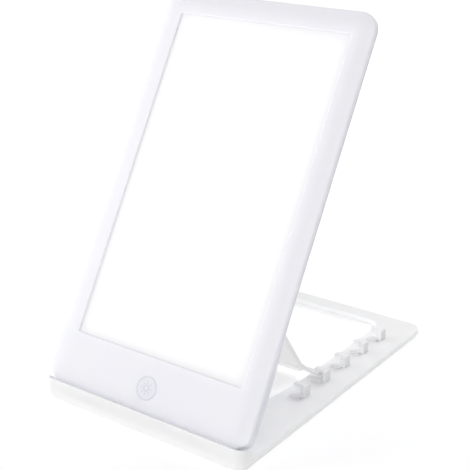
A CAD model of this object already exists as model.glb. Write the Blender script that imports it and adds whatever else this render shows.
from math import pi, radians

import bmesh
import bpy
from mathutils import Matrix, Vector


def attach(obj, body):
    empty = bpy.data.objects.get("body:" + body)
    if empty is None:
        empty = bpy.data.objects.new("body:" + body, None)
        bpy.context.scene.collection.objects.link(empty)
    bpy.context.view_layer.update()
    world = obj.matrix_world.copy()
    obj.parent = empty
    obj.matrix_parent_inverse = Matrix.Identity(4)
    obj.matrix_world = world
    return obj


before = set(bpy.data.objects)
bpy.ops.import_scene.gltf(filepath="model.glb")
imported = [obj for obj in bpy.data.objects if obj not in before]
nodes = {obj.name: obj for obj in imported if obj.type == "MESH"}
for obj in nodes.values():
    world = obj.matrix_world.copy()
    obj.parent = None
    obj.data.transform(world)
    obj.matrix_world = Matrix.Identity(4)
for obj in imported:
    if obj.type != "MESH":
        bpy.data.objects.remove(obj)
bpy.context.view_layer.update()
scene = bpy.context.scene
print("frame loaded:", len(nodes), "nodes")

# camera, at the angle of the photograph
camera = {
    "place": (0.50984, -0.71906, 0.46211),
    "azimuth": 35.735,
    "elevation": 20.673,
    "lens": 83.215,  # mm
    "sensor": 36,  # mm
    "shift": (-0.00783, -0.01523),
    "clip": (0.05, 20),
}


def makeCamera():
    data = bpy.data.cameras.new("studioCamera")
    data.sensor_width = camera["sensor"]
    data.lens = camera["lens"]
    data.shift_x, data.shift_y = camera["shift"]
    data.clip_start, data.clip_end = camera["clip"]
    cam = bpy.data.objects.new("studioCamera", data)
    cam.location = camera["place"]
    cam.rotation_euler = (radians(90 - camera["elevation"]), 0, radians(camera["azimuth"]))
    scene.collection.objects.link(cam)
    scene.camera = cam


makeCamera()
print("camera placed")

# the panel's own frame: X across, Y up the panel from its lower edge, Z out of its face
panel = {
    "hinge": (0.0, -0.134, 0.0104),  # on the hinge axis
    "hingeUp": 0.0024,  # from the lower edge to the hinge axis
    "hingeBack": 0.0149,  # from the hinge axis to the face
    "lean": 59.3,  # degrees that the face rises from the floor
}
panelFrame = (
    Matrix.Translation(panel["hinge"])
    @ Matrix.Rotation(radians(panel["lean"]), 4, "X")
    @ Matrix.Translation((0, -panel["hingeUp"], panel["hingeBack"]))
)


def linearColour(hexColour):
    channels = [int(hexColour[i : i + 2], 16) / 255 for i in (1, 3, 5)]
    return [c / 12.92 if c <= 0.04045 else ((c + 0.055) / 1.055) ** 2.4 for c in channels] + [1.0]


def addNode(tree, kind, settings=None, links=None):
    node = tree.nodes.new("ShaderNode" + kind)
    for key, value in (settings or {}).items():
        if isinstance(key, str) and key not in node.inputs:
            setattr(node, key, value)
        else:
            node.inputs[key].default_value = value
    for key, source in (links or {}).items():
        tree.links.new(source, node.inputs[key])
    return node


def startMaterial(name, shader):
    material = bpy.data.materials.new(name)
    material.use_nodes = True
    tree = material.node_tree
    tree.nodes.clear()
    surface = addNode(tree, "BsdfPrincipled", shader)
    addNode(tree, "OutputMaterial", None, {"Surface": surface.outputs["BSDF"]})
    place = addNode(tree, "TexCoord").outputs["Object"]
    return material, tree, surface, place


def dress(name, material):
    mesh = nodes[name].data
    mesh.materials.clear()
    mesh.materials.append(material)


def addPiece(name, bm):
    mesh = bpy.data.meshes.new(name)
    bm.to_mesh(mesh)
    bm.free()
    piece = bpy.data.objects.new(name, mesh)
    scene.collection.objects.link(piece)
    return piece


# moulded ABS: a fine spark-eroded grain, slightly uneven gloss and almost no colour of its own; scatter and reach are
# how much light enters the plastic and how far it goes
mouldings = {
    # cool white with soft highlights along the crown
    "bezelAbs": {
        "colour": "#f7f7ff", "shade": "#f2f2fc", "roughness": 0.46, "grain": 0.25, "scatter": 0.4, "reach": 0.003,
        "nodes": ["front_bezel"],
    },
    # a shade greyer and a little glossier
    "coverAbs": {
        "colour": "#eaebf5", "shade": "#e5e6f1", "roughness": 0.42, "grain": 0.3, "scatter": 0.4, "reach": 0.003,
        "nodes": ["back_cover"],
    },
    # neutral white with soft shadows
    "baseAbs": {
        "colour": "#f8f8f8", "shade": "#f0f0f0", "roughness": 0.46, "grain": 0.3, "scatter": 0.6, "reach": 0.006,
        "nodes": ["base_frame"],
    },
    # the base's plastic without scatter, which would darken a ledge as thin as a stop's
    "stopAbs": {
        "colour": "#f8f8f8", "shade": "#f0f0f0", "roughness": 0.46, "grain": 0.3, "scatter": 0.0, "reach": 0.003,
        "nodes": ["stops_left", "stops_right"],
    },
    # slightly warm white
    "strutAbs": {
        "colour": "#fcfbf8", "shade": "#f4f3ef", "roughness": 0.46, "grain": 0.3, "scatter": 0.6, "reach": 0.006,
        "nodes": ["strut"],
    },
}
plasticSkin = {
    "ior": 1.53,
    "cloud": 0.045,  # patches of slightly different tone
    "grainSize": 0.0006,  # spark-eroded grain of about 0.3 mm, drawn at twice that so that it shows
    "grainHeight": 0.00004,
    "glossier": 0.04,
    "duller": 0.06,
}


def mouldedPlastic(name, look):
    material, tree, surface, place = startMaterial(name, {
        "IOR": plasticSkin["ior"], "Roughness": look["roughness"], "Subsurface Weight": look["scatter"],
        "Subsurface Scale": look["reach"], "Subsurface Radius": (1.0, 1.0, 1.0)})
    cloudy = addNode(tree, "TexNoise", {"Scale": 1 / plasticSkin["cloud"], "Detail": 3.0}, {"Vector": place})
    tint = addNode(tree, "MixRGB", {"Color1": linearColour(look["colour"]), "Color2": linearColour(look["shade"])},
                   {"Fac": cloudy.outputs["Fac"]})
    tree.links.new(tint.outputs["Color"], surface.inputs["Base Color"])
    grain = addNode(tree, "TexNoise", {"Scale": 1 / plasticSkin["grainSize"], "Detail": 2.0}, {"Vector": place})
    gloss = addNode(tree, "MapRange", {"To Min": look["roughness"] - plasticSkin["glossier"],
                                       "To Max": look["roughness"] + plasticSkin["duller"]},
                    {"Value": grain.outputs["Fac"]})
    tree.links.new(gloss.outputs["Result"], surface.inputs["Roughness"])
    bump = addNode(tree, "Bump", {"Strength": look["grain"], "Distance": plasticSkin["grainHeight"]},
                   {"Height": grain.outputs["Fac"]})
    tree.links.new(bump.outputs["Normal"], surface.inputs["Normal"])
    return material


for mouldingName, look in mouldings.items():
    plastic = mouldedPlastic(mouldingName, look)
    for nodeName in look["nodes"]:
        dress(nodeName, plastic)

# opal acrylic over an edge-lit guide: even light that falls off towards the frame, and a dim line where the frame
# shades it
diffuser = {
    "low": 0.0434,
    "width": 0.1756,
    "height": 0.2944,
    "lap": 0.003,  # hidden behind the frame on every side
    "edge": 0.46,  # emission at the frame
    "rise": 0.15,  # gained over the first stretch inwards
    "riseReach": 0.013,
    "risePower": 0.35,  # under 1, so that most of the rise comes first
    "middle": 0.5,  # gained further in
    "middleReach": 0.06,
    "shade": 0.0012,  # width of the dim line
    "line": 0.93,
    "colour": "#fffefc",
    "unlit": "#a9a9ae",
    "roughness": 0.3,
    "ior": 1.49,
}


def opalAcrylic():
    material, tree, surface, place = startMaterial("opalAcrylic", {
        "IOR": diffuser["ior"], "Roughness": diffuser["roughness"], "Base Color": linearColour(diffuser["unlit"]),
        "Emission Color": linearColour(diffuser["colour"])})
    inverse = panelFrame.inverted()
    turned = addNode(tree, "Mapping", {"vector_type": "POINT", "Location": inverse.translation,
                                       "Rotation": inverse.to_euler()}, {"Vector": place})
    parts = addNode(tree, "SeparateXYZ", None, {"Vector": turned.outputs["Vector"]})
    centreUp = diffuser["low"] + diffuser["height"] / 2

    def inward(axis, centre, half, reach):
        off = addNode(tree, "Math", {"operation": "SUBTRACT", 1: centre}, {0: parts.outputs[axis]})
        size = addNode(tree, "Math", {"operation": "ABSOLUTE"}, {0: off.outputs[0]})
        ramp = addNode(tree, "MapRange", {"interpolation_type": "SMOOTHSTEP", "From Min": half,
                                          "From Max": half - reach}, {"Value": size.outputs[0]})
        return ramp.outputs["Result"]

    def inside(reach):
        sides = inward("X", 0.0, diffuser["width"] / 2 - diffuser["lap"], reach)
        ends = inward("Y", centreUp, diffuser["height"] / 2 - diffuser["lap"], reach)
        return addNode(tree, "Math", {"operation": "MULTIPLY"}, {0: sides, 1: ends}).outputs[0]

    quick = addNode(tree, "Math", {"operation": "POWER", 1: diffuser["risePower"]},
                    {0: inside(diffuser["riseReach"])})
    near = addNode(tree, "Math", {"operation": "MULTIPLY_ADD", 1: diffuser["rise"], 2: diffuser["edge"]},
                   {0: quick.outputs[0]})
    glow = addNode(tree, "Math", {"operation": "MULTIPLY_ADD", 1: diffuser["middle"]},
                   {0: inside(diffuser["middleReach"]), 2: near.outputs[0]})
    shaded = addNode(tree, "MapRange", {"To Min": diffuser["line"], "To Max": 1.0},
                     {"Value": inside(diffuser["shade"])})
    light = addNode(tree, "Math", {"operation": "MULTIPLY"}, {0: glow.outputs[0], 1: shaded.outputs["Result"]})
    tree.links.new(light.outputs[0], surface.inputs["Emission Strength"])
    return material


dress("diffuser", opalAcrylic())

# simple finishes for the small and inner pieces; pattern is in metres, and drawn coarser than the real grain or
# tracks, which are mostly under 0.3 mm and wouldn't show
finishes = {
    # polished sheet, smooth and faintly blue
    "clearAcrylic": {"colour": "#e6f0f4", "roughness": 0.08, "ior": 1.49, "pattern": 0.004, "depth": 0.1,
                     "nodes": ["light_guide"]},
    # embossed film with a satin sheen
    "prismFilm": {"colour": "#eef2f6", "roughness": 0.25, "ior": 1.55, "pattern": 0.0008, "depth": 0.3,
                  "nodes": ["prism_film"]},
    # drawn polyester film, matt and evenly white
    "whiteFilm": {"colour": "#f8f8f8", "roughness": 0.6, "ior": 1.5, "pattern": 0.001, "depth": 0.1,
                  "nodes": ["reflector"]},
    # mill finish, a light grey blurred mirror
    "rolledAluminium": {"colour": "#c8cbce", "roughness": 0.35, "metal": 1.0, "pattern": 0.0006, "depth": 0.2,
                        "nodes": ["heat_spreader"]},
    # bright grey with a fine glitter from the tool's marks
    "turnedSteel": {"colour": "#b9bbbe", "roughness": 0.28, "metal": 1.0, "pattern": 0.0005, "depth": 0.2,
                    "nodes": ["hinge_pins", "strut_rod", "power_socket"]},
    # plated steel, duller and greyer than bare steel
    "zincPlate": {"colour": "#a9acb0", "roughness": 0.38, "metal": 1.0, "pattern": 0.0006, "depth": 0.2,
                  "nodes": ["cover_screws", "board_screws"]},
    # moulded pads, dark grey and dull
    "siliconeRubber": {"colour": "#6c6d70", "roughness": 0.75, "ior": 1.45, "pattern": 0.0008, "depth": 0.4,
                       "nodes": ["foot_pads"]},
    # green lacquer over copper tracks, glossy and uneven in tone
    "solderMask": {"colour": "#1f6b3c", "roughness": 0.35, "ior": 1.5, "pattern": 0.0015, "depth": 0.4,
                   "nodes": ["driver_board", "touch_board"]},
    # cream lacquer on the light strips
    "stripBoard": {"colour": "#f1eccf", "roughness": 0.45, "ior": 1.5, "pattern": 0.0015, "depth": 0.3,
                   "nodes": ["led_strip_left", "led_strip_right"]},
    # extruded sleeves with a dull gloss
    "redLead": {"colour": "#b32a22", "roughness": 0.5, "ior": 1.5, "pattern": 0.001, "depth": 0.2,
                "nodes": ["led_leads"]},
    "whiteLead": {"colour": "#e4e2da", "roughness": 0.5, "ior": 1.5, "pattern": 0.001, "depth": 0.2,
                  "nodes": ["touch_lead"]},
    # sprayed ring, a pale line with a soft gleam
    "silverPaint": {"colour": "#e6e7f0", "roughness": 0.35, "ior": 1.5, "pattern": 0.0005, "depth": 0.2,
                    "nodes": ["touch_ring"]},
    # moulded smooth, so its highlight is sharper than the bezel's
    "polycarbonateLens": {"colour": "#f3f3fb", "roughness": 0.16, "ior": 1.58, "pattern": 0.002, "depth": 0.05,
                          "nodes": ["touch_lens"]},
}
finishRelief = {"dark": 0.9, "height": 0.00003}


def smallFinish(name, look):
    shader = {"Roughness": look["roughness"], "Metallic": look.get("metal", 0.0)}
    if "ior" in look:
        shader["IOR"] = look["ior"]
    material, tree, surface, place = startMaterial(name, shader)
    pattern = addNode(tree, "TexNoise", {"Scale": 1 / look["pattern"], "Detail": 2.0}, {"Vector": place})
    base = linearColour(look["colour"])
    darker = [c * finishRelief["dark"] for c in base[:3]] + [1.0]
    tint = addNode(tree, "MixRGB", {"Color1": base, "Color2": darker}, {"Fac": pattern.outputs["Fac"]})
    tree.links.new(tint.outputs["Color"], surface.inputs["Base Color"])
    bump = addNode(tree, "Bump", {"Strength": look["depth"], "Distance": finishRelief["height"]},
                   {"Height": pattern.outputs["Fac"]})
    tree.links.new(bump.outputs["Normal"], surface.inputs["Normal"])
    return material


for finishName, look in finishes.items():
    finish = smallFinish(finishName, look)
    for nodeName in look["nodes"]:
        dress(nodeName, finish)
print("materials made")

# the sign on the touch key: a small sun, printed on the lens in matt ink that takes no highlight
touchMark = {
    "up": 0.021,  # middle of the key, up the panel
    "ring": 0.0024,
    "ringSteps": 48,
    "line": 0.00045,
    "rayFrom": 0.0036,
    "rayTo": 0.0055,
    "rays": 8,
    "raised": 0.00006,
    "greyPrint": {"colour": "#d0d2dc", "roughness": 0.5, "ior": 1.5, "pattern": 0.0005, "depth": 0.1},
}


def makeTouchMark():
    bm = bmesh.new()
    line, raised = touchMark["line"], touchMark["raised"]
    low, high = touchMark["ring"] - line / 2, touchMark["ring"] + line / 2
    section = [bm.verts.new(place) for place in ((low, 0, 0), (high, 0, 0), (high, 0, raised), (low, 0, raised))]
    edges = [bm.edges.new((section[i], section[(i + 1) % 4])) for i in range(4)]
    bmesh.ops.spin(bm, geom=section + edges, cent=(0, 0, 0), axis=(0, 0, 1), angle=2 * pi,
                   steps=touchMark["ringSteps"], use_merge=True)
    length = touchMark["rayTo"] - touchMark["rayFrom"]
    for i in range(touchMark["rays"]):
        turn = Matrix.Rotation(2 * pi * i / touchMark["rays"], 4, "Z")
        centre = Matrix.Translation((touchMark["rayFrom"] + length / 2, 0, raised / 2))
        bmesh.ops.create_cube(bm, size=1, matrix=turn @ centre @ Matrix.Diagonal((length, line, raised, 1)))
    bmesh.ops.recalc_face_normals(bm, faces=bm.faces)
    bmesh.ops.transform(bm, matrix=panelFrame @ Matrix.Translation((0, touchMark["up"], 0)), verts=bm.verts)
    mark = addPiece("touchMark", bm)
    mark.data.materials.append(smallFinish("greyPrint", touchMark["greyPrint"]))
    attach(mark, "lamp")


makeTouchMark()
print("touch key's sign made")

# studio: a pale floor that glows a little, softboxes in front and behind, and one over the floor far behind
studio = {
    "floor": 6.0,
    "floorDrop": 0.0002,  # below the foot pads
    "floorColour": "#fafafa",
    "floorRoughness": 0.9,
    "floorGlow": 0.2,
    "white": "#ffffff",
    "world": 0.34,
    "aim": (0, 0, 0.12),  # where a softbox without an aim of its own points
    "softboxes": {
        "keyLeft": {"place": (-1.6, -0.9, 1.2), "size": (1.4, 1.4), "power": 10.4},
        "keyRight": {"place": (0.7, -1.6, 1.2), "size": (1.4, 1.0), "power": 12.4},
        "front": {"place": (-0.2, -1.9, 1.0), "size": (1.6, 1.0), "power": 2.0},
        "wallLeft": {"place": (-1.7, 0.0, 0.5), "size": (2.6, 0.9), "power": 14.5},
        "backHigh": {"place": (0.2, 1.8, 1.4), "size": (1.8, 1.2), "power": 21.6},
        "farFloor": {"place": (-1.0, 2.6, 1.0), "size": (4.0, 1.2), "power": 6.0, "aim": (-1.0, 2.6, 0)},
    },
}


def makeStudio():
    bm = bmesh.new()
    bmesh.ops.create_grid(bm, x_segments=2, y_segments=2, size=studio["floor"])
    floor = addPiece("studioFloor", bm)
    floor.location = (0, 0, -studio["floorDrop"])
    white = linearColour(studio["white"])
    material = startMaterial("paleFloor", {
        "Base Color": linearColour(studio["floorColour"]), "Roughness": studio["floorRoughness"],
        "Emission Color": white, "Emission Strength": studio["floorGlow"]})[0]
    floor.data.materials.append(material)
    world = bpy.data.worlds.new("studioWorld")
    scene.world = world
    world.use_nodes = True
    background = world.node_tree.nodes["Background"]
    background.inputs["Color"].default_value = white
    background.inputs["Strength"].default_value = studio["world"]
    scene.view_settings.view_transform = "Standard"
    scene.view_settings.look = "None"


def softbox(name, look):
    data = bpy.data.lights.new(name, "AREA")
    data.shape = "RECTANGLE"
    data.size, data.size_y = look["size"]
    data.energy = look["power"]
    light = bpy.data.objects.new(name, data)
    light.location = look["place"]
    towards = Vector(look.get("aim", studio["aim"])) - light.location
    light.rotation_euler = towards.to_track_quat("-Z", "Y").to_euler()
    scene.collection.objects.link(light)


makeStudio()
for boxName, look in studio["softboxes"].items():
    softbox(boxName, look)
print("studio set")
